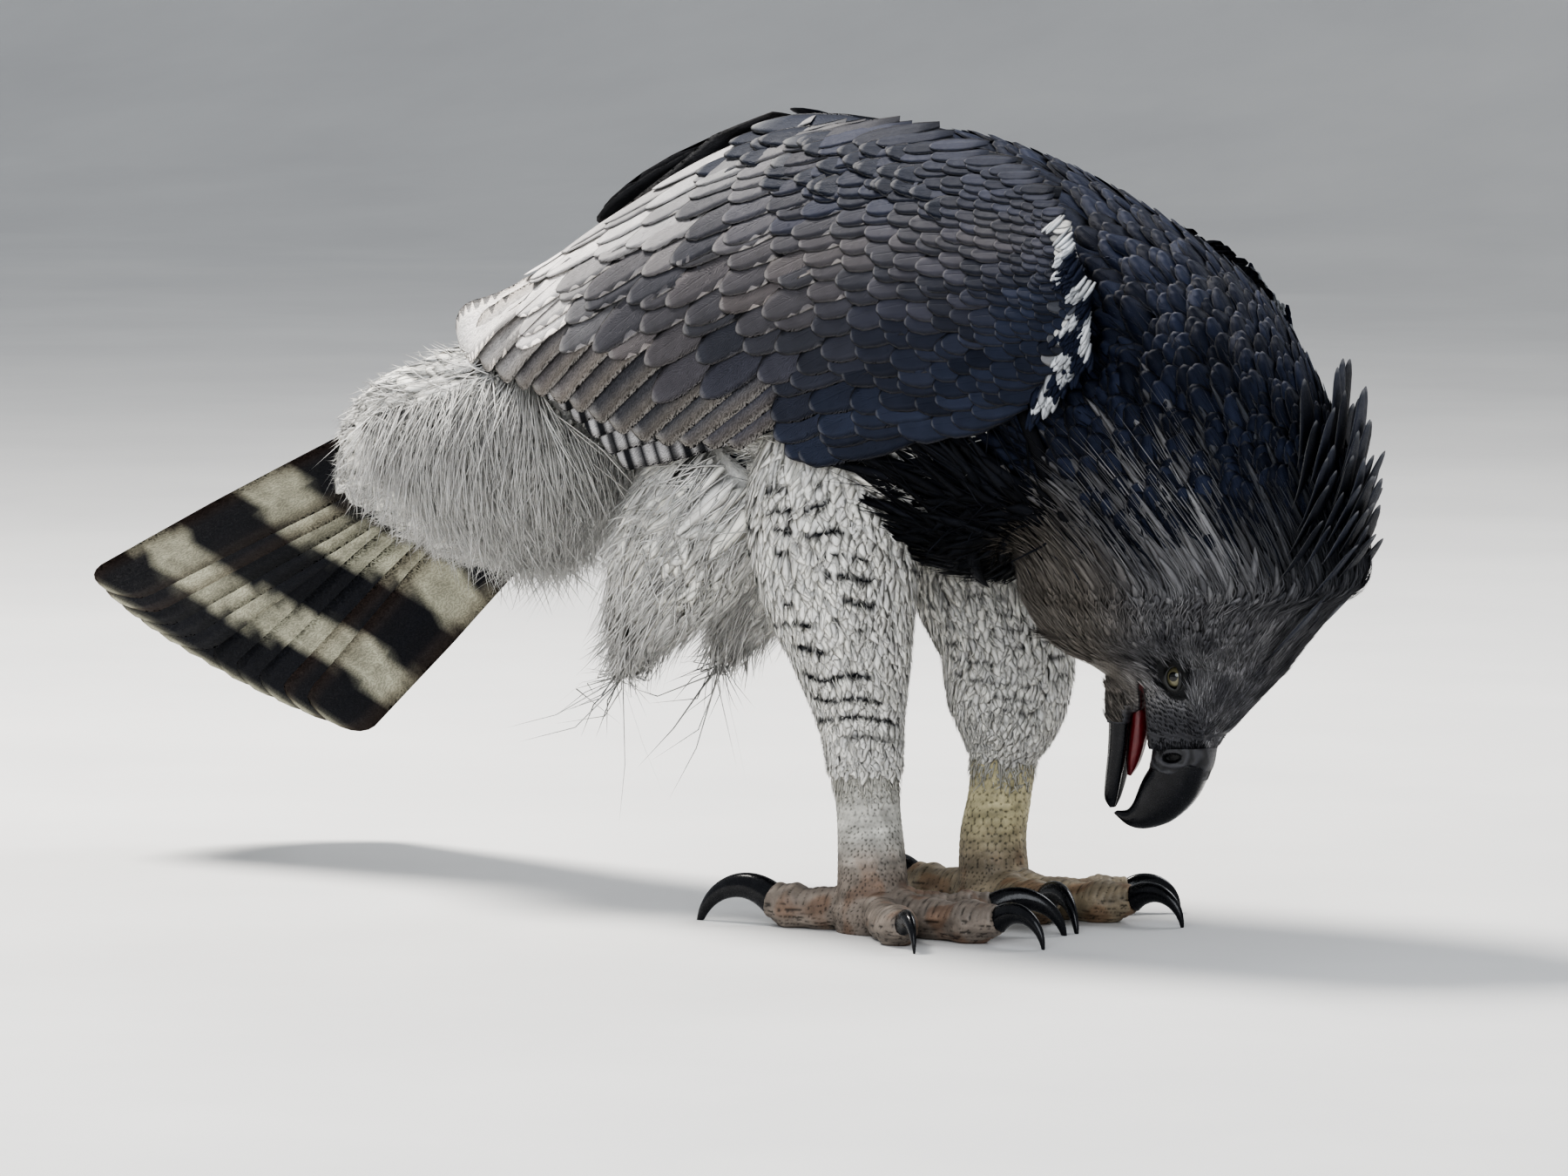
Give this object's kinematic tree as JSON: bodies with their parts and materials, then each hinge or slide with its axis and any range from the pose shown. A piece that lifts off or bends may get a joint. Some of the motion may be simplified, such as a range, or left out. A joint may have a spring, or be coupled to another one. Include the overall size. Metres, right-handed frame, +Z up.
{
  "type": "harpy eagle",
  "caption": "Life-size harpy eagle standing with its head bowed to its feet and its hooked bill open, modelled as a still.",
  "frame": {"origin": "on the floor, under the middle of the bird's outline", "axes": "+X the way the bird faces, +Y its left, +Z up"},
  "size_m": [0.8944, 0.2478, 0.4617],
  "materials": {
    "feathers_white": "soft matte, cream white with dark bars",
    "feathers_black": "soft matte black",
    "feathers_grey": "soft matte grey",
    "feathers_slate": "satin slate grey with paler edges",
    "feathers_tail": "satin black with broad pale bars",
    "horn": "gloss black horn",
    "leg_skin": "matte scaled skin",
    "toe_skin": "matte scaled skin",
    "mouth": "moist dark red",
    "iris": "polished glass eye"
  },
  "bodies": {
    "root": {"torso": "feathers_white", "neck": "feathers_black", "head": "feathers_grey", "bill_upper": "horn", "bill_lower": "horn", "tongue": "mouth", "eye_right": "iris", "eye_left": "iris", "tail": "feathers_tail", "undertail": "feathers_white", "wing_right": "feathers_slate", "wing_left": "feathers_slate", "shank_right": "feathers_white", "tarsus_right": "leg_skin", "foot_right": "toe_skin", "toe_hind_right": "toe_skin", "claw_hind_right": "horn", "toe_inner_right": "toe_skin", "claw_inner_right": "horn", "toe_middle_right": "toe_skin", "claw_middle_right": "horn", "toe_outer_right": "toe_skin", "claw_outer_right": "horn", "shank_left": "feathers_white", "tarsus_left": "leg_skin", "foot_left": "toe_skin", "toe_hind_left": "toe_skin", "claw_hind_left": "horn", "toe_inner_left": "toe_skin", "claw_inner_left": "horn", "toe_middle_left": "toe_skin", "claw_middle_left": "horn", "toe_outer_left": "toe_skin", "claw_outer_left": "horn"}
  },
  "joints": []
}
